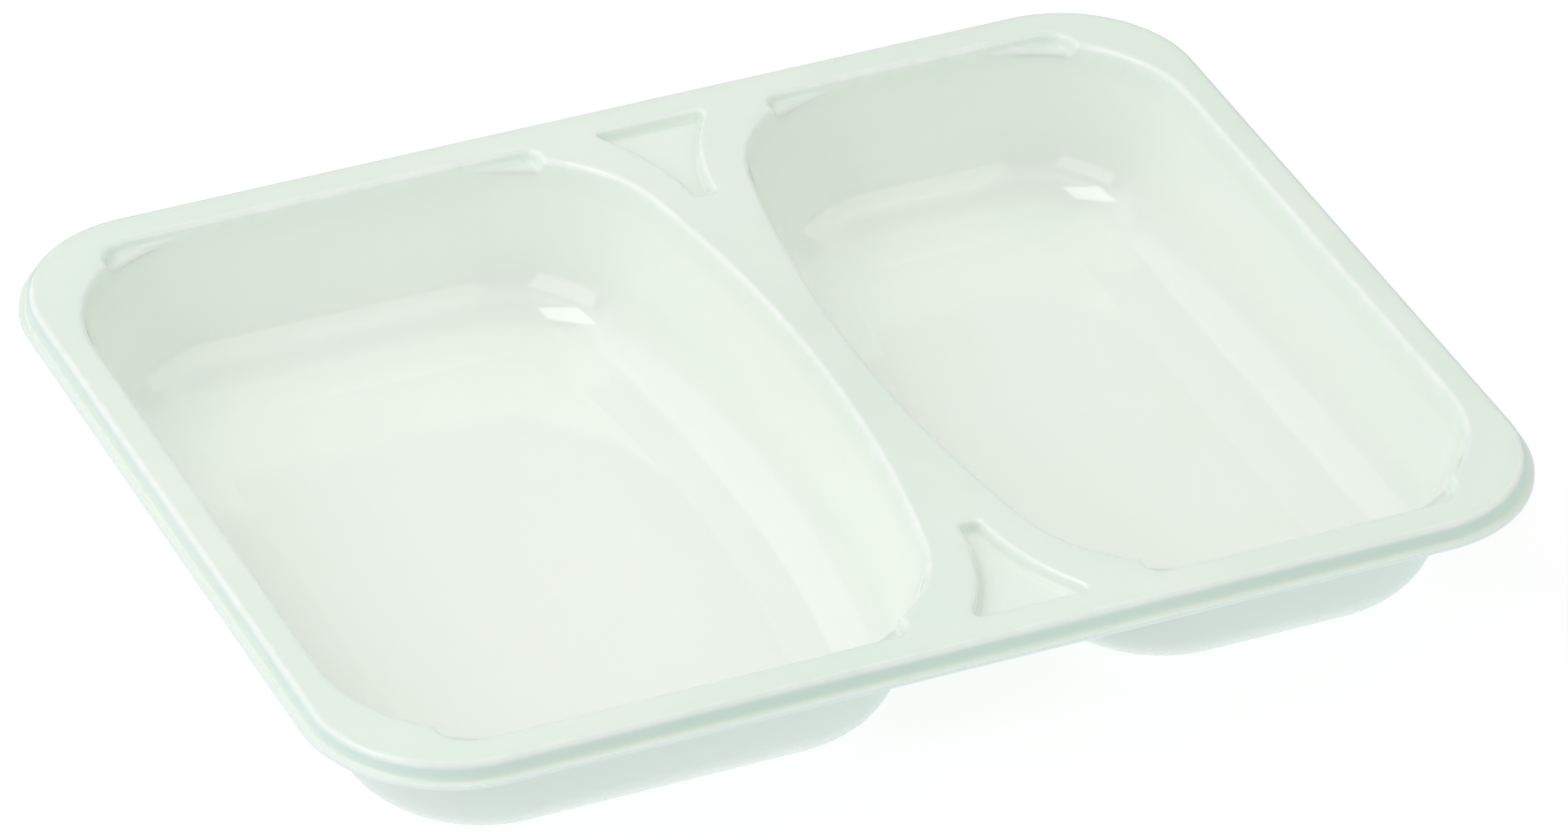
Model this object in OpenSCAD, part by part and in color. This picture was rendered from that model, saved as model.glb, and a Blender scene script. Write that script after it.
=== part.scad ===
// Two-compartment ready-meal tray, one sheet of plastic formed over a mould.
// Millimetres. The underside of the well floors is at Z = 0, the centre of
// the outer lip is on the Z axis, the long side runs along X and the large
// well is on the -X side.

/* [Sheet] */
// Thickness of the formed sheet
sheet_t = 0.7; // [0.5:0.1:0.9]

/* [Rim] */
// Overall length over the lip, along X
lip_l = 227; // [225:1:230]
// Overall width over the lip, along Y
lip_w = 178; // [176:1:181]
// Plan radius of the lip's corners
lip_corner_r = 26.5; // [25:0.5:28]
// How far the lip stands out from the skirt
lip_out = 1.5; // [1:0.1:2]
// Drop from the sealing land to the top of the lip
skirt_drop = 3.2; // [2.5:0.1:4]
// Outside radius where the land turns down into the skirt
rim_edge_r = 1.2; // [1:0.1:1.6]

/* [Wells] */
// Inside depth of both wells below the land
well_depth = 28.8; // [24:0.2:31]
// Sealing land between the skirt and a well at the two short ends
end_land_w = 5.5; // [5:0.1:6.5]
// Sealing land between the skirt and a well along the two long sides
side_land_w = 6.3; // [5.5:0.1:7.5]
// Plan radius of the well corners, at the land
well_corner_r = 30; // [28:0.5:32]
// Draft of the well walls from the vertical, in degrees
wall_draft = 13.5; // [12:0.5:18]
// Radius where a wall turns over onto the land
mouth_r = 1.2; // [1:0.1:1.5]
// Inside radius between a wall and the floor's sloping border
base_r = 11; // [9:0.5:12]
// Slope of the floor's border, in degrees
border_slope = 10; // [6:1:12]
// Width of the floor's sloping border
border_w = 7; // [5:0.5:8]

/* [Bridge] */
// Distance of the bridge's centre line from the tray's centre
bridge_x = 12.2; // [5:0.1:20]
// Width of the bridge at its narrowest
bridge_w = 6; // [6:0.1:8]
// Plan radius of the two bulging walls beside the bridge
bulge_r = 290; // [270:5:320]

/* [Bridge recesses] */
// Depth of the two funnel-shaped recesses
recess_depth = 2.3; // [1.5:0.1:3]
// Distance of a recess's narrow end from the middle of the tray
recess_tip_y = 54; // [53:0.5:56]
// Width of a recess at its narrow end
recess_tip_w = 5; // [4:0.5:6]
// Width of a recess at its wide end
recess_base_w = 22; // [20:0.5:23]
// Plan radius of the two curved sides of a recess
recess_side_r = 46; // [44:1:50]
// Draft of the recess walls, in degrees
recess_draft = 14; // [8:1:16]

/* [Stacking ledges] */
// Depth of the ledge in each well corner, on which a stacked tray sits
ledge_depth = 2.3; // [1.5:0.1:3]
// Distance of the ledge's end wall from the end wall of the well
ledge_end_gap = 11.2; // [10:0.2:12]
// Plan radius of the ledge corners at the tray's ends
ledge_end_r = 7; // [5:0.5:7]
// Distance of the ledge's end wall from the crown of the bulging wall
ledge_bridge_gap = 18.5; // [17.5:0.1:19]
// Plan radius of the ledge corners beside the bridge
ledge_bridge_r = 4; // [3:0.5:5]

/* [Hidden] */
$fn = 120;
tray_colour = [0.89, 0.92, 0.88];

land_z = well_depth + sheet_t;
skirt_l = lip_l - 2 * lip_out;
skirt_w = lip_w - 2 * lip_out;
skirt_corner_r = lip_corner_r - lip_out;
end_x = skirt_l / 2 - end_land_w;
side_y = skirt_w / 2 - side_land_w;

// The x of each bulging wall's crown, with the small well seen mirrored
large_bulge_x = bridge_x - bridge_w / 2;
small_bulge_x = -bridge_x - bridge_w / 2;

// The curved sides of a recess are centred this far behind its narrow end
recess_side_back = 2;

// Neighbouring pieces of sheet run this far into each other
overlap = 2;
// Arcs closer together than this have no straight run between them
shortest_run = 0.01;
edge_steps = 4;
base_steps = 8;
outline_steps = 24;

// Well wall section: s is the distance inwards from the edge of the land,
// h is the height above the land. The base radius is centred here.
base_centre_h = -well_depth + border_w * sin(border_slope) + base_r * cos(border_slope);
mouth_reach = mouth_r * (1 - sin(wall_draft));
base_centre_s = (base_r + mouth_reach - base_centre_h * sin(wall_draft)) / cos(wall_draft);
floor_inset = base_centre_s - base_r * sin(border_slope) + border_w * cos(border_slope);

function arc_points(centre, radius, from, to, steps) = [
    for (i = [0 : steps])
        let (angle = from + (to - from) * i / steps)
        centre + radius * [cos(angle), sin(angle)]
];

// One side of the sheet, as [s, h] points from the land to the floor.
// depth_in is 0 for the inside surface and sheet_t for the outside one.
function wall_side(depth_in) = concat(
    [[-overlap, -depth_in]],
    arc_points([0, -mouth_r], mouth_r - depth_in, 90, wall_draft, edge_steps),
    arc_points(
        [base_centre_s, base_centre_h],
        base_r + depth_in,
        180 + wall_draft,
        270 - border_slope,
        base_steps
    ),
    [
        [floor_inset - depth_in * tan(border_slope / 2), -well_depth - depth_in],
        [floor_inset + overlap, -well_depth - depth_in]
    ]
);

function reversed(list) = [for (i = [len(list) - 1 : -1 : 0]) list[i]];

// A plan outline is a list of arcs [centre, radius, from, to], joined
// anticlockwise by straight lines. bulge is the x of the bulging wall's
// crown, and end is the x of the well's end wall.
function well_arcs(end, bulge) =
    let (
        corner_y = side_y - well_corner_r,
        tangent = asin(corner_y / (bulge_r - well_corner_r)),
        bulge_centre = bulge - bulge_r,
        corner_x = bulge_centre + (bulge_r - well_corner_r) * cos(tangent)
    )
    [
        [[bulge_centre, 0], bulge_r, -tangent, tangent],
        [[corner_x, corner_y], well_corner_r, tangent, 90],
        [[end + well_corner_r, corner_y], well_corner_r, 90, 180],
        [[end + well_corner_r, -corner_y], well_corner_r, 180, 270],
        [[corner_x, -corner_y], well_corner_r, 270, 360 - tangent]
    ];

large_well_arcs = well_arcs(-end_x, large_bulge_x);
small_well_arcs = well_arcs(-end_x, small_bulge_x);

function rim_arcs(length, width, radius) = [
    for (i = [0 : 3])
        let (
            x = (i == 0 || i == 3 ? 1 : -1) * (length / 2 - radius),
            y = (i < 2 ? 1 : -1) * (width / 2 - radius)
        )
        [[x, y], radius, 90 * i, 90 * i + 90]
];

function inset_outline(arcs, inset) = [
    for (arc = arcs)
        each arc_points(arc[0], arc[1] - inset, arc[2], arc[3], outline_steps)
];

// Where an arc begins or ends
function arc_end(arc, angle) = arc[0] + arc[1] * [cos(angle), sin(angle)];

// Runs a section round an outline. The section's x is the distance
// outwards from the outline, and its y is the height above the land.
module sweep_round(arcs) {
    for (i = [0 : len(arcs) - 1]) {
        arc = arcs[i];
        next = arcs[(i + 1) % len(arcs)];
        translate([arc[0][0], arc[0][1], land_z])
            rotate_extrude(angle = arc[3] - arc[2], start = arc[2])
            translate([arc[1], 0])
            children();
        start = arc_end(arc, arc[3]);
        run = norm(arc_end(next, next[2]) - start);
        if (run > shortest_run)
            translate([start[0], start[1], land_z])
                rotate([90, 0, arc[3] + 180])
                mirror([1, 0, 0])
                linear_extrude(run)
                children();
    }
}

module rim_section() {
    polygon(concat(
        [[-rim_edge_r - overlap, 0]],
        arc_points([-rim_edge_r, -rim_edge_r], rim_edge_r, 90, 0, edge_steps),
        [
            [0, -skirt_drop],
            [lip_out, -skirt_drop],
            [lip_out, -skirt_drop - sheet_t],
            [-sheet_t, -skirt_drop - sheet_t]
        ],
        arc_points([-rim_edge_r, -rim_edge_r], rim_edge_r - sheet_t, 0, 90, edge_steps),
        [[-rim_edge_r - overlap, -sheet_t]]
    ));
}

module well_section() {
    mirror([1, 0])
        polygon(concat(wall_side(0), reversed(wall_side(sheet_t))));
}

module rim() {
    sweep_round(rim_arcs(skirt_l, skirt_w, skirt_corner_r))
        rim_section();
}

module well(end, bulge) {
    arcs = well_arcs(end, bulge);
    sweep_round(arcs)
        well_section();
    linear_extrude(sheet_t)
        polygon(inset_outline(arcs, floor_inset + overlap / 2));
}

// The flat land between the rim and the two wells
module land() {
    land_inset = rim_edge_r + overlap / 2;
    translate([0, 0, land_z - sheet_t])
        linear_extrude(sheet_t)
        difference() {
            polygon(inset_outline(rim_arcs(skirt_l, skirt_w, skirt_corner_r), land_inset));
            polygon(inset_outline(large_well_arcs, -overlap / 2));
            mirror([1, 0])
                polygon(inset_outline(small_well_arcs, -overlap / 2));
        }
}

// The space of one recess, from its floor up to the height top above the
// land. grow widens it by the sheet's thickness, for its outside.
module recess_form(grow, top) {
    depth = recess_depth + grow;
    side_grow = grow / cos(recess_draft);
    top_spread = side_grow + top * tan(recess_draft);
    floor_spread = side_grow - depth * tan(recess_draft);
    side_centre_x = recess_tip_w / 2 + recess_side_r;
    side_centre_y = recess_tip_y - recess_side_back;
    difference() {
        translate([-recess_base_w / 2 - grow, 0, land_z])
            rotate([90, 0, 90])
            linear_extrude(recess_base_w + 2 * grow)
            polygon([
                [recess_tip_y - top_spread, top],
                [side_y + top_spread, top],
                [side_y + floor_spread, -depth],
                [recess_tip_y - floor_spread, -depth]
            ]);
        for (side = [-1, 1])
            translate([side * side_centre_x, side_centre_y, land_z - depth])
                cylinder(
                    h = depth + top,
                    r1 = recess_side_r - floor_spread,
                    r2 = recess_side_r - top_spread
                );
    }
}

// Both recesses, one at each end of the bridge
module recess_forms(grow, top) {
    for (side = [0, 1])
        translate([bridge_x, 0, 0])
            mirror([0, side, 0])
            recess_form(grow, top);
}

// Plan of one ledge: a block with its end wall at x = 0, its side wall at
// y = 0 and a round corner between them. It dies out in the well wall's
// rounded mouth at x = length.
module ledge_plan(length, radius, grow) {
    reach = well_corner_r / 2;
    translate([radius, -reach])
        square([length - radius + grow, reach + grow]);
    translate([-grow, -reach])
        square([radius + grow, reach - radius]);
    translate([radius, -radius])
        circle(radius + grow);
}

// The plans of a well's four ledges, one in each corner
module ledge_plans(end, bulge, grow) {
    corner_x = well_arcs(end, bulge)[1][0][0];
    bridge_wall_x = bulge - ledge_bridge_gap;
    for (side = [0, 1])
        mirror([0, side]) {
            translate([end + ledge_end_gap, side_y])
                ledge_plan(well_corner_r - ledge_end_gap, ledge_end_r, grow);
            translate([bridge_wall_x, side_y])
                mirror([1, 0])
                ledge_plan(bridge_wall_x - corner_x, ledge_bridge_r, grow);
        }
}

// The sheet of a well's ledges: their floors, and walls up to the land.
// It laps onto the middle of the well wall's thickness.
module ledges(end, bulge) {
    translate([0, 0, land_z - ledge_depth - sheet_t])
        linear_extrude(ledge_depth + sheet_t)
        difference() {
            ledge_plans(end, bulge, sheet_t);
            polygon(inset_outline(well_arcs(end, bulge), mouth_r));
        }
}

// The space above a well's ledges
module ledge_space(end, bulge) {
    translate([0, 0, land_z - ledge_depth])
        linear_extrude(ledge_depth + overlap)
        ledge_plans(end, bulge, 0);
}

// Builds its children for the large well, and mirrored for the small one.
// $bulge is the x of the bulging wall's crown, beside the bridge.
module for_each_well() {
    let ($bulge = large_bulge_x)
        children();
    mirror([1, 0, 0])
        let ($bulge = small_bulge_x)
        children();
}

module tray() {
    color(tray_colour)
        difference() {
            union() {
                rim();
                land();
                for_each_well() {
                    well(-end_x, $bulge);
                    ledges(-end_x, $bulge);
                }
                recess_forms(sheet_t, 0);
            }
            recess_forms(0, overlap);
            for_each_well()
                ledge_space(-end_x, $bulge);
        }
}

tray();
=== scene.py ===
"""The looks of a two-compartment tray formed from one sheet of glossy plastic.

The sheet's upper skin is built from sections: the rim and the two recesses
are rings, and each well is a fan of spokes that run inwards from its outline.
The flat land is then filled in between them, and the skin is given the
sheet's thickness. Sizes in the code are millimetres, converted to metres
where vertices are made. Heights h are measured upwards from the land.
"""

import math

import bmesh
import bpy
from mathutils import Matrix, Vector
from mathutils.geometry import delaunay_2d_cdt


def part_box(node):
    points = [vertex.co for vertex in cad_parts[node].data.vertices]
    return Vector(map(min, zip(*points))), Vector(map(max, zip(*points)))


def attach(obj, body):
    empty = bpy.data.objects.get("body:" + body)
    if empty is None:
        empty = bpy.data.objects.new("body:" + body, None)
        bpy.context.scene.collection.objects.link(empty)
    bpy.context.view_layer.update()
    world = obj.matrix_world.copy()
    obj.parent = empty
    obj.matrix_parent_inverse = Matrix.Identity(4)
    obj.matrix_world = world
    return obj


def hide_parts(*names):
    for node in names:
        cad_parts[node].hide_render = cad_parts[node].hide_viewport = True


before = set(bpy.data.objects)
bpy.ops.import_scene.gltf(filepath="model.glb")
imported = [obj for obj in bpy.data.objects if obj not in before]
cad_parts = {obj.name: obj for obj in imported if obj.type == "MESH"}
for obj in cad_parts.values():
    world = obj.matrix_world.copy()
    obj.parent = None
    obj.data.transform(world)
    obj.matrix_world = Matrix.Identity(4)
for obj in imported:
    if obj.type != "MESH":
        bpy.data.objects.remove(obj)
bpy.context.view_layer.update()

MM = 0.001
TRAY_LOW, TRAY_HIGH = (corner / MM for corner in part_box("tray"))

# Sheet and rim
SHEET = 0.7
LAND_Z = TRAY_HIGH.z
LIP_OUT = 1.5
SKIRT_LENGTH = TRAY_HIGH.x - TRAY_LOW.x - 2 * LIP_OUT
SKIRT_WIDTH = TRAY_HIGH.y - TRAY_LOW.y - 2 * LIP_OUT
SKIRT_CORNER_R = 25
SKIRT_DROP = 3.2
RIM_EDGE_R = 1.2
FOLD_R = 0.5
LAND_MARGIN = 0.4

# The plastic changes from its denser tone at the land to its tone in the wells
# over this height, and the studio floor is this far under the tray
FLANGE_DEPTH = 6
FLOOR_GAP = 0.05

# Wells
DEPTH = LAND_Z - SHEET
END_X = SKIRT_LENGTH / 2 - 5.5
SIDE_Y = SKIRT_WIDTH / 2 - 6.3
CORNER_R = 30
DRAFT = math.radians(13.5)
MOUTH_R = 1.2
BASE_R = 11
BORDER_SLOPE = math.radians(10)
BORDER_W = 7
END_BORDER_EXTRA = 1.5
CREASE = 0.02

# Bridge between the wells
BRIDGE_X = 12.2
BRIDGE_W = 6
BULGE_R = 290

# Stacking ledges in the well corners
LEDGE_DEPTH = 2.3
LEDGE_FILLET_R = 1.4
LEDGE_END_GAP = 11.2
LEDGE_END_R = 7
LEDGE_BRIDGE_GAP = 18.5
LEDGE_BRIDGE_R = 4
LEDGE_EDGE_BLEND = 0.7

# Recesses at the two ends of the bridge
RECESS_DEPTH = 2.3
RECESS_TIP_Y = 54
RECESS_TIP_HALF_W = 2.5
RECESS_BASE_HALF_W = 11
RECESS_SIDE_R = 46
RECESS_SIDE_BACK = 2
RECESS_EDGE_R = 0.75
RECESS_DRAFT = math.radians(14)
RECESS_PLAN_R = 1.8

# Distances across a drafted edge at which the wells and ledges have a ring
EDGE_RINGS = (
    -LAND_MARGIN, 0, 0.21, 0.41, 0.6, 0.78, 0.93, 1.06, 1.15, 1.27,
    1.39, 1.48, 1.56, 1.68, 1.8, 1.95, 2.16, 2.4, 2.65, 2.9,
)


def steps(start, end, count):
    """count + 1 evenly spaced values from start to end."""
    return [start + (end - start) * i / count for i in range(count + 1)]


def smooth(low, high, value):
    """0 below low, 1 above high, and a smooth rise between."""
    t = min(max((value - low) / (high - low), 0), 1)
    return t * t * (3 - 2 * t)


def soft_min(a, b, width):
    """The smaller of a and b, rounded off where they are closer than width."""
    if width < 1e-6 or abs(a - b) >= width:
        return min(a, b)
    return min(a, b) - (width - abs(a - b)) ** 2 / (4 * width)


def drafted_edge(s, radius, draft):
    """Height of an edge that rounds over the land at s = 0 into a drafted wall."""
    if s <= 0:
        return 0
    if s <= radius * math.cos(draft):
        return math.sqrt(radius * radius - s * s) - radius
    return (radius * (1 - math.sin(draft)) - s * math.cos(draft)) / math.sin(draft)


def step_down(s, radius, draft, depth, fillet_r):
    """A drafted edge that ends in a fillet on a flat floor."""
    foot = (radius * (1 - math.sin(draft)) + depth * math.sin(draft)) / math.cos(draft)
    reach = fillet_r * math.tan((math.pi / 2 - draft) / 2)
    if s >= foot + reach:
        return -depth
    if s <= foot - reach * math.sin(draft):
        return drafted_edge(s, radius, draft)
    return fillet_r - depth - math.sqrt(fillet_r ** 2 - (foot + reach - s) ** 2)


def is_inside(point, loop):
    """Whether a point lies inside a closed plan outline."""
    crossings = 0
    for (x0, y0, _), (x1, y1, _) in zip(loop, loop[1:] + loop[:1]):
        if (y0 > point.y) != (y1 > point.y):
            crossings += x0 + (point.y - y0) * (x1 - x0) / (y1 - y0) > point.x
    return crossings % 2 == 1


class WellSection:
    """The section of a well's wall, for one width of the floor's border."""

    def __init__(self, border_w):
        rise = border_w * math.sin(BORDER_SLOPE)
        self.centre_h = BASE_R * math.cos(BORDER_SLOPE) + rise - DEPTH
        mouth = BASE_R + MOUTH_R * (1 - math.sin(DRAFT))
        self.centre_s = (mouth - self.centre_h * math.sin(DRAFT)) / math.cos(DRAFT)
        self.wall_end = self.centre_s - BASE_R * math.cos(DRAFT)
        self.base_end = self.centre_s - BASE_R * math.sin(BORDER_SLOPE)
        self.floor_start = self.base_end + border_w * math.cos(BORDER_SLOPE)

    def height(self, s):
        if s <= self.wall_end:
            return drafted_edge(s, MOUTH_R, DRAFT)
        if s <= self.base_end:
            return self.centre_h - math.sqrt(BASE_R ** 2 - (s - self.centre_s) ** 2)
        border = (self.floor_start - s) * math.tan(BORDER_SLOPE) - DEPTH
        return -soft_min(-border, DEPTH, CREASE)

    def rings(self):
        """Distances inwards at which the wall, base and border have a ring."""
        base = [
            self.centre_s + BASE_R * math.cos(angle)
            for angle in steps(math.pi + DRAFT, 1.5 * math.pi - BORDER_SLOPE, 11)
        ]
        crease = [self.floor_start + t for t in (-3.5, -0.6, -0.3, 0, 0.3, 0.6, 2)]
        return list(EDGE_RINGS) + steps(EDGE_RINGS[-1], self.wall_end, 3)[1:-1] + base + crease


class Well:
    """One well, with its end wall at x = -END_X and the bridge on its +X side."""

    def __init__(self, bulge_x):
        self.bulge_x = bulge_x
        self.corner_y = SIDE_Y - CORNER_R
        self.end_corner_x = CORNER_R - END_X
        self.tangent = math.asin(self.corner_y / (BULGE_R - CORNER_R))
        bulge_reach = (BULGE_R - CORNER_R) * math.cos(self.tangent)
        self.bridge_corner_x = bulge_x - BULGE_R + bulge_reach

    def ledge_depth_in(self, x, y):
        """How far the point lies inside a ledge's outline, negative outside it."""
        to_end = x + END_X - LEDGE_END_GAP
        to_bridge = self.bulge_x - LEDGE_BRIDGE_GAP - x
        across, radius = (to_end, LEDGE_END_R) if x < self.ledge_split else (to_bridge, LEDGE_BRIDGE_R)
        across, along = radius - across, radius - (SIDE_Y - abs(y))
        corner = math.hypot(max(across, 0), max(along, 0))
        return radius - corner - min(max(across, along), 0)

    @property
    def ledge_split(self):
        return (self.end_corner_x + self.bridge_corner_x) / 2

    def quarter(self):
        """Outline points of the +Y half, from the bulge's crown to the end wall's middle.

        Each is a point, the direction into the well and the border's extra width."""
        half_pi = math.pi / 2
        points = []
        for angle in steps(0, self.tangent, 18)[:-1]:
            at = Vector((self.bulge_x - BULGE_R * (1 - math.cos(angle)), BULGE_R * math.sin(angle)))
            points.append((at, angle, 0))
        ledge_x = self.bulge_x - LEDGE_BRIDGE_GAP - self.bridge_corner_x
        for angle in self.corner_angles(self.tangent, half_pi, math.acos(ledge_x / CORNER_R)):
            points.append((self.on_corner(self.bridge_corner_x, angle), angle, 0))
        for x in steps(self.bridge_corner_x, self.end_corner_x, 8)[1:-1]:
            points.append((Vector((x, SIDE_Y)), half_pi, 0))
        ledge_x = LEDGE_END_GAP - CORNER_R
        for angle in self.corner_angles(half_pi, math.pi, math.acos(ledge_x / CORNER_R)):
            extra = END_BORDER_EXTRA * smooth(half_pi, math.pi, angle)
            points.append((self.on_corner(self.end_corner_x, angle), angle, extra))
        for y in steps(self.corner_y, 0, 8)[1:]:
            points.append((Vector((-END_X, y)), math.pi, END_BORDER_EXTRA))
        return points

    def corner_angles(self, start, end, ledge_start):
        """Angles round a corner, closer together where its ledge starts."""
        coarse, fine, window = (math.radians(step) for step in (1.5, 0.55, 6))
        angles = [start]
        while end - angles[-1] > fine * 1.5:
            near = abs(angles[-1] - ledge_start) < window
            angles.append(min(angles[-1] + (fine if near else coarse), end))
        angles[-1] = end
        return angles

    def on_corner(self, centre_x, angle):
        centre = Vector((centre_x, self.corner_y))
        return centre + CORNER_R * Vector((math.cos(angle), math.sin(angle)))

    def outline(self):
        """The whole outline, anticlockwise, as points, inward directions and extras."""
        upper = [(at, Vector((-math.cos(a), -math.sin(a))), extra) for at, a, extra in self.quarter()]
        flip = Vector((1, -1))
        lower = [(at * flip, inward * flip, extra) for at, inward, extra in reversed(upper[1:-1])]
        return upper + lower

    def ledge_width(self, at, outward):
        """Width of the ledge outside the outline here, 0 where there is none."""
        low, high = 0, 14
        if self.ledge_depth_in(*at) <= 0:
            return 0
        for _ in range(40):
            middle = (low + high) / 2
            inside = self.ledge_depth_in(*(at + middle * outward)) > 0
            low, high = (middle, high) if inside else (low, middle)
        return low

    def spoke(self, at, inward, extra):
        """Points from the land to the floor: (x, y, height, how much painted highlight and rougher finish
        the edge gets).
        """
        section = WellSection(BORDER_W + extra)
        width = self.ledge_width(at, -inward)
        rings = section.rings()
        rings += self.ledge_rings(at, inward, width)
        return [self.point(at + s * inward, s, width, section) for s in sorted(rings)]

    def ledge_rings(self, at, inward, width):
        """Rings across the ledge's outer wall, further apart where it runs askew."""
        nudge = 0.05
        edge = at - width * inward
        gain = self.ledge_depth_in(*(edge + nudge * inward)) - self.ledge_depth_in(*edge)
        askew = 1 / max(gain / nudge, 0.3)
        stretch = 1 + (askew - 1) * smooth(0, 1.5, width)
        return [ring * stretch - width for ring in EDGE_RINGS]

    def point(self, place, s, width, section):
        wall = section.height(s)
        ledge = step_down(self.ledge_depth_in(*place), MOUTH_R, DRAFT, LEDGE_DEPTH, LEDGE_FILLET_R)
        if width <= 0:
            ledge = 0
        shallow = -max(wall, ledge)
        blend = LEDGE_EDGE_BLEND * smooth(0, 2, width) * smooth(0.4, 1.8, shallow)
        height = soft_min(wall, ledge, blend)
        # The mouth's rounding, where no wide ledge meets it, gets the painted highlight: a paler tone in
        # the material, and a rougher finish.
        sheen_and_wear = smooth(-0.1, 0.3, s) * smooth(1.9, 1.1, s) if width < 2 else 0
        return place.x, place.y, height, sheen_and_wear


class Skin:
    """Vertices and faces of the sheet's upper skin, collected piece by piece."""

    def __init__(self):
        self.vertices = []
        self.faces = []
        # Per vertex, how much painted highlight and rougher finish the material gives the edge there.
        self.edge_sheen_and_wear = []

    def add_point(self, x, y, height, sheen_and_wear=0):
        self.vertices.append((x * MM, y * MM, (LAND_Z + height) * MM))
        self.edge_sheen_and_wear.append(sheen_and_wear)
        return len(self.vertices) - 1

    def add_loops(self, loops):
        """Joins closed loops of vertex numbers, one after another, by quads."""
        for outer, inner in zip(loops, loops[1:]):
            for i in range(len(outer)):
                j = (i + 1) % len(outer)
                self.faces.append((outer[i], outer[j], inner[j], inner[i]))

    def fill(self, loops):
        """Fills the flat area between an outer loop and the loops inside it."""
        order = [number for loop in loops for number in loop]
        flat = [Vector(self.vertices[number][:2]) / MM for number in order]
        edges = []
        for loop in loops:
            first = len(edges)
            edges += [(first + i, first + (i + 1) % len(loop)) for i in range(len(loop))]
        _, _, triangles, sources, _, _ = delaunay_2d_cdt(flat, edges, [], 1, 1e-4)
        holes = [[self.vertices[number] for number in loop] for loop in loops[1:]]
        for triangle in triangles:
            corners = [order[sources[corner][0]] for corner in triangle]
            middle = sum((Vector(self.vertices[number]) for number in corners), Vector()) / 3
            if not any(is_inside(middle, hole) for hole in holes):
                self.faces.append(tuple(corners))

    def add_well(self, bulge_x, side):
        """Adds a well, mirrored if side is -1, and returns its outermost loop."""
        well = Well(bulge_x)
        spokes = [well.spoke(*part) for part in well.outline()]
        if side < 0:
            spokes = [[(-x, y, height, sheen_and_wear) for x, y, height, sheen_and_wear in spoke] for spoke in reversed(spokes)]
        count = max(len(spoke) for spoke in spokes)
        numbers = [[self.add_point(*point) for point in spoke] for spoke in spokes]
        loops = [[spoke[ring] for spoke in numbers] for ring in range(count)]
        self.add_loops(loops)
        self.fill([loops[-1]])
        return loops[0]

    def add_recess(self, side):
        """Adds the recess at the +Y or -Y end of the bridge, and returns its outer loop."""
        loops = []
        for inset, height in recess_section():
            ring = [(BRIDGE_X + x, y * side) for x, y in recess_outline(inset)]
            # The recess's upper rounding gets the painted highlight: a paler tone in the material, and a
            # rougher finish.
            sheen_and_wear = smooth(-1.6, -0.2, height) if inset > 0 else 0
            loops.append([self.add_point(x, y, height, sheen_and_wear) for x, y in ring[::side]])
        self.add_loops(loops)
        self.fill([loops[-1]])
        return loops[0]

    def add_rim(self):
        """Adds the rim, from the lip's edge up to the land, and returns its inner loop."""
        loops = []
        for out, height in reversed(rim_section()):
            # The rim's outer rounding and the lip's cut edge get the painted highlight: a paler tone in the
            # material, and a rougher finish.
            sheen_and_wear = smooth(-1.2, -0.3, height) * smooth(-1.7, -1.1, out) + smooth(1.2, 1.5, out)
            loops.append([self.add_point(x, y, height, sheen_and_wear) for x, y in rim_outline(out)])
        self.add_loops(loops)
        return loops[-1]


def recess_section():
    """Insets and heights from the land down onto a recess's floor."""
    drop = RECESS_DEPTH * math.sin(RECESS_DRAFT)
    foot = (RECESS_EDGE_R * (1 - math.sin(RECESS_DRAFT)) + drop) / math.cos(RECESS_DRAFT)
    last = foot + RECESS_EDGE_R * math.tan((math.pi / 2 - RECESS_DRAFT) / 2)
    mouth = [RECESS_EDGE_R * math.sin(t * (math.pi / 2 - RECESS_DRAFT)) for t in steps(0, 1, 5)]
    insets = [-LAND_MARGIN] + mouth + steps(mouth[-1], last, 8)[1:] + [last + 0.25]
    return [
        (inset, step_down(inset, RECESS_EDGE_R, RECESS_DRAFT, RECESS_DEPTH, RECESS_EDGE_R))
        for inset in insets
    ]


def recess_outline(inset):
    """A recess's outline, anticlockwise, this far inside its edge on the land."""
    tip = RECESS_TIP_Y + inset
    end = SIDE_Y - inset
    corner = RECESS_PLAN_R - 0.7 * inset
    centre_x = RECESS_TIP_HALF_W + RECESS_SIDE_R
    centre_y = RECESS_TIP_Y - RECESS_SIDE_BACK

    def half_width(y):
        reach = (RECESS_SIDE_R + inset) ** 2 - (y - centre_y) ** 2
        return soft_min(RECESS_BASE_HALF_W - inset, centre_x - math.sqrt(reach), 0.8)

    right = []
    for angle in steps(0, math.pi / 2, 6):
        y = tip + corner * (1 - math.cos(angle))
        right.append((half_width(y) - corner * (1 - math.sin(angle)), y))
    for y in steps(tip + corner, end - corner, 26)[1:-1]:
        right.append((half_width(y), y))
    for angle in steps(0, math.pi / 2, 6):
        y = end - corner * (1 - math.sin(angle))
        right.append((half_width(y) - corner * (1 - math.cos(angle)), y))
    return right + [(-x, y) for x, y in reversed(right)]


def rim_section():
    """The rim, as distances out from the skirt and heights, from the land outwards."""
    edge = [
        (RIM_EDGE_R * (math.sin(angle) - 1), RIM_EDGE_R * (math.cos(angle) - 1))
        for angle in steps(0, math.pi / 2, 8)
    ]
    fold = [
        (FOLD_R * (1 - math.cos(angle)), FOLD_R * (1 - math.sin(angle)) - SKIRT_DROP)
        for angle in steps(0, math.pi / 2, 5)
    ]
    lip = [(out, -SKIRT_DROP) for out in (0.9, 1.25, LIP_OUT)]
    return [(-RIM_EDGE_R - LAND_MARGIN, 0)] + edge + fold + lip


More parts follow.
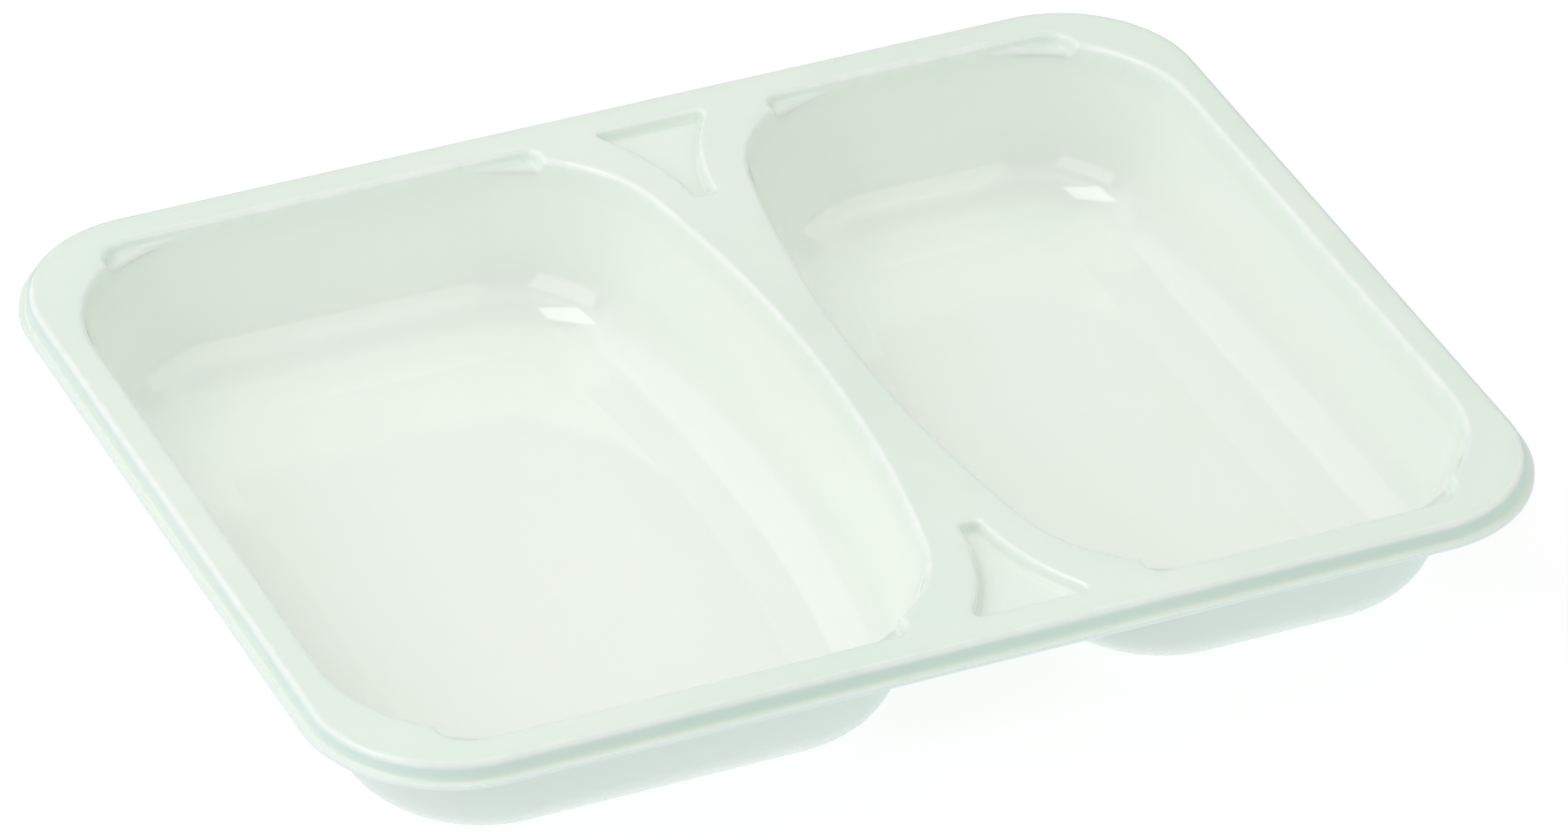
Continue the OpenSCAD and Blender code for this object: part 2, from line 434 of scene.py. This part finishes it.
def rim_outline(out):
    """The rim's outline, anticlockwise, this far outside the skirt."""
    radius = SKIRT_CORNER_R + out
    points = []
    for quarter in range(4):
        x = (SKIRT_LENGTH / 2 - SKIRT_CORNER_R) * (1 if quarter in (0, 3) else -1)
        y = (SKIRT_WIDTH / 2 - SKIRT_CORNER_R) * (1 if quarter in (0, 1) else -1)
        for angle in steps(quarter * math.pi / 2, (quarter + 1) * math.pi / 2, 36):
            points.append((x + radius * math.cos(angle), y + radius * math.sin(angle)))
    return points


def make_skin():
    """The whole upper skin, as a mesh of a single sheet without thickness."""
    skin = Skin()
    land = [skin.add_rim()]
    land.append(skin.add_well(BRIDGE_X - BRIDGE_W / 2, 1))
    land.append(skin.add_well(-BRIDGE_X - BRIDGE_W / 2, -1))
    land += [skin.add_recess(side) for side in (1, -1)]
    skin.fill(land)
    mesh = bpy.data.meshes.new("tray_shell")
    mesh.from_pydata(skin.vertices, [], skin.faces)
    # Carries the painted edge highlight, and the rougher finish there, to the material.
    edge_sheen_and_wear = mesh.attributes.new("edge_sheen_and_wear", "FLOAT", "POINT")
    edge_sheen_and_wear.data.foreach_set("value", [float(sheen_and_wear) for sheen_and_wear in skin.edge_sheen_and_wear])
    clean_up(mesh)
    return mesh


def clean_up(mesh):
    """Joins rings that fall on the same place, and turns every face upwards."""
    work = bmesh.new()
    work.from_mesh(mesh)
    bmesh.ops.remove_doubles(work, verts=work.verts, dist=0.012 * MM)
    bmesh.ops.recalc_face_normals(work, faces=work.faces)
    land = max(work.faces, key=lambda face: face.calc_area())
    if land.normal.z < 0:
        bmesh.ops.reverse_faces(work, faces=work.faces)
    for face in work.faces:
        face.smooth = True
    work.to_mesh(mesh)
    work.free()


def make_tray():
    """The tray: the skin with the sheet's thickness and a softened cut edge."""
    tray = bpy.data.objects.new("tray_shell", make_skin())
    bpy.context.collection.objects.link(tray)
    thickness = tray.modifiers.new("sheet_thickness", "SOLIDIFY")
    thickness.thickness = SHEET * MM
    thickness.offset = -1
    cut_edge = tray.modifiers.new("cut_edge", "BEVEL")
    cut_edge.width = 0.1 * MM
    cut_edge.segments = 2
    cut_edge.limit_method = "ANGLE"
    cut_edge.angle_limit = math.radians(60)
    tray.data.materials.append(tray_plastic())
    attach(tray, "root")
    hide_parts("tray")
    return tray


class Nodes:
    """Short calls for building a material's node tree."""

    def __init__(self, name):
        self.material = bpy.data.materials.new(name)
        self.material.use_nodes = True
        self.tree = self.material.node_tree
        self.shader = self.tree.nodes["Principled BSDF"]

    def add(self, kind, inputs=None, **settings):
        node = self.tree.nodes.new(kind)
        for name, value in settings.items():
            setattr(node, name, value)
        for key, value in (inputs or {}).items():
            self.feed(value, node.inputs[key])
        return node

    def feed(self, value, socket):
        if isinstance(value, bpy.types.NodeSocket):
            self.tree.links.new(value, socket)
        else:
            socket.default_value = value

    def noise(self, place, scale, detail=2, roughness=0.5):
        inputs = {"Vector": place, "Scale": scale, "Detail": detail, "Roughness": roughness}
        return self.add("ShaderNodeTexNoise", inputs).outputs["Fac"]

    def spread(self, value, from_low, from_high, to_low, to_high):
        inputs = {0: value, 1: from_low, 2: from_high, 3: to_low, 4: to_high}
        return self.add("ShaderNodeMapRange", inputs).outputs[0]

    def mix(self, factor, a, b):
        inputs = {0: factor, 6: a, 7: b}
        return self.add("ShaderNodeMix", inputs, data_type="RGBA").outputs[2]


def formed_relief(nodes, place):
    """The slow waviness of a formed sheet, with the mould's fine grain on it."""
    waves = {"Strength": 1, "Distance": 0.02 * MM, "Height": nodes.noise(place, 40, 1)}
    waviness = nodes.add("ShaderNodeBump", waves).outputs["Normal"]
    grains = {"Strength": 1, "Distance": 0.0003 * MM, "Height": nodes.noise(place, 1400, 1)}
    grains["Normal"] = waviness
    return nodes.add("ShaderNodeBump", grains).outputs["Normal"]


def tray_plastic():
    """Glossy, slightly translucent off-white with a green cast, with a painted highlight on the rounded
    edges, where it is also rougher.
    """
    nodes = Nodes("tray_plastic")
    place = nodes.add("ShaderNodeTexCoord").outputs["Object"]
    depth = nodes.add("ShaderNodeSeparateXYZ", {0: place}).outputs["Z"]
    sheen_and_wear = nodes.add("ShaderNodeAttribute", attribute_name="edge_sheen_and_wear").outputs["Fac"]
    thick_tone = (0.715, 0.845, 0.735, 1)
    thin_tone = (0.845, 0.932, 0.81, 1)
    cloud_tone = (0.815, 0.91, 0.79, 1)
    # A pale tone painted on the rounded edges as a highlight
    painted_sheen_tone = (0.9, 0.95, 0.9, 1)
    drawn = nodes.spread(depth, (LAND_Z - FLANGE_DEPTH) * MM, LAND_Z * MM, 1, 0)
    colour = nodes.mix(drawn, thick_tone, thin_tone)
    clouds = nodes.spread(nodes.noise(place, 22, 3), 0.35, 0.65, 0, 0.5)
    colour = nodes.mix(clouds, colour, cloud_tone)
    # Noise breaks the painted edge highlight into patches; the same patches are rougher
    scuff_and_sheen_patches = nodes.spread(nodes.noise(place, 260, 4, 0.6), 0.3, 0.7, 0, 0.5)
    sheen_and_scuffs = nodes.add("ShaderNodeMath", {0: scuff_and_sheen_patches, 1: sheen_and_wear}, operation="MULTIPLY").outputs[0]
    colour = nodes.mix(sheen_and_scuffs, colour, painted_sheen_tone)
    nodes.feed(colour, nodes.shader.inputs["Base Color"])
    haze = nodes.spread(nodes.noise(place, 35, 4), 0.3, 0.7, 0.03, 0.05)
    rough = nodes.add("ShaderNodeMath", {0: sheen_and_scuffs, 1: 0.15, 2: haze}, operation="MULTIPLY_ADD")
    nodes.feed(rough.outputs[0], nodes.shader.inputs["Roughness"])
    nodes.feed(formed_relief(nodes, place), nodes.shader.inputs["Normal"])
    nodes.shader.inputs["IOR"].default_value = 1.57
    nodes.shader.inputs["Subsurface Weight"].default_value = 1.0
    nodes.shader.inputs["Subsurface Radius"].default_value = (1, 1, 1)
    nodes.shader.inputs["Subsurface Scale"].default_value = 2.0 * MM
    return nodes.material


def floor_white():
    """A pale studio floor that stays nearly white under the tray."""
    nodes = Nodes("floor_white")
    place = nodes.add("ShaderNodeTexCoord").outputs["Object"]
    grain = nodes.spread(nodes.noise(place, 40, 3), 0.3, 0.7, 0, 1)
    colour = nodes.mix(grain, (0.26, 0.26, 0.26, 1), (0.28, 0.28, 0.28, 1))
    nodes.feed(colour, nodes.shader.inputs["Base Color"])
    nodes.shader.inputs["Roughness"].default_value = 0.9
    nodes.shader.inputs["Specular IOR Level"].default_value = 0.1
    nodes.shader.inputs["Emission Color"].default_value = (1, 1, 1, 1)
    nodes.shader.inputs["Emission Strength"].default_value = 0.8
    return nodes.material


def make_floor():
    """A wide flat floor."""
    half = 4.0
    cells = 8
    side = steps(-half, half, cells)
    points = [(x, y, -FLOOR_GAP * MM) for y in side for x in side]
    faces = [
        (row + i, row + i + 1, row + i + cells + 2, row + i + cells + 1)
        for row in range(0, cells * (cells + 1), cells + 1)
        for i in range(cells)
    ]
    mesh = bpy.data.meshes.new("studio_floor")
    mesh.from_pydata(points, [], faces)
    mesh.materials.append(floor_white())
    floor = bpy.data.objects.new("studio_floor", mesh)
    bpy.context.collection.objects.link(floor)
    floor.visible_diffuse = False
    floor.visible_glossy = False


def direction(azimuth, elevation):
    """The direction out to a viewer or light. Azimuth 0 is -Y, and 90 is +X."""
    a, e = math.radians(azimuth), math.radians(elevation)
    return Vector((math.sin(a) * math.cos(e), -math.cos(a) * math.cos(e), math.sin(e)))


def add_softbox(name, azimuth, elevation, distance, size, power, colour=(1, 1, 1)):
    """A rectangular soft light that looks at the tray."""
    light = bpy.data.lights.new(name, "AREA")
    light.shape = "RECTANGLE"
    light.size, light.size_y = size
    light.energy = power
    light.color = colour
    lamp = bpy.data.objects.new(name, light)
    out = direction(azimuth, elevation)
    lamp.location = out * distance
    lamp.rotation_euler = (-out).to_track_quat("-Z", "Y").to_euler()
    bpy.context.collection.objects.link(lamp)


def make_dome():
    """Light from all round: dim and bluish low down, with a bright band high up."""
    world = bpy.data.worlds.new("studio_dome")
    world.use_nodes = True
    tree = world.node_tree
    place = tree.nodes.new("ShaderNodeTexCoord")
    split = tree.nodes.new("ShaderNodeSeparateXYZ")
    tones = tree.nodes.new("ShaderNodeValToRGB")
    background = tree.nodes["Background"]
    height = tree.nodes.new("ShaderNodeMapRange")
    height.inputs["From Min"].default_value = -1
    tree.links.new(place.outputs["Generated"], split.inputs[0])
    tree.links.new(split.outputs["Z"], height.inputs[0])
    tree.links.new(height.outputs[0], tones.inputs[0])
    tree.links.new(tones.outputs[0], background.inputs["Color"])
    background.inputs["Strength"].default_value = 0.905
    stops = (
        (0, (1.4, 1.4, 1.35, 1)),
        (0.3, (0.44, 0.64, 0.71, 1)),
        (0.5, (0.29, 0.44, 0.49, 1)),
        (0.625, (0.5, 0.5, 0.49, 1)),
        (0.8, (0.56, 0.55, 0.54, 1)),
        (0.85, (0.6, 0.59, 0.58, 1)),
        (0.88, (1.08, 1.06, 1.03, 1)),
        (0.92, (1.08, 1.06, 1.03, 1)),
        (0.95, (0.35, 0.35, 0.35, 1)),
        (1, (0.2, 0.2, 0.2, 1)),
    )
    for place_on_ramp, _ in stops[1:-1]:
        tones.color_ramp.elements.new(place_on_ramp)
    for element, (place_on_ramp, colour) in zip(tones.color_ramp.elements, stops):
        element.position = place_on_ramp
        element.color = colour
    bpy.context.scene.world = world


def make_light():
    """The dome, a key softbox high on the left, and soft ones behind, beside and in front."""
    make_dome()
    add_softbox("key_softbox", -112, 62, 1.5, (0.6, 0.75), 4.2)
    add_softbox("back_softbox", -145, 30, 1.5, (1.8, 1.1), 4.4, (0.95, 0.95, 1))
    add_softbox("side_softbox", -70, 25, 0.8, (0.8, 0.5), 1.7, (1, 0.89, 0.96))
    add_softbox("front_softbox", 48, 38, 1.5, (2.0, 0.8), 4.5, (1, 0.98, 0.93))
    bpy.context.scene.view_settings.view_transform = "Standard"


def make_camera():
    """A long lens from the front left, a little above the tray."""
    camera = bpy.data.cameras.new("camera")
    camera.lens = 249.25
    camera.clip_end = 20
    aim = Vector((-4.33, -15.18, LAND_Z)) * MM
    out = direction(-25.19, 34.5)
    holder = bpy.data.objects.new("camera", camera)
    holder.location = aim + out * 1.8686
    roll = Matrix.Rotation(math.radians(1.57), 3, "Z")
    facing = (-out).to_track_quat("-Z", "Y").to_matrix() @ roll
    holder.rotation_euler = facing.to_euler()
    bpy.context.collection.objects.link(holder)
    bpy.context.scene.camera = holder


make_tray()
make_floor()
make_light()
make_camera()
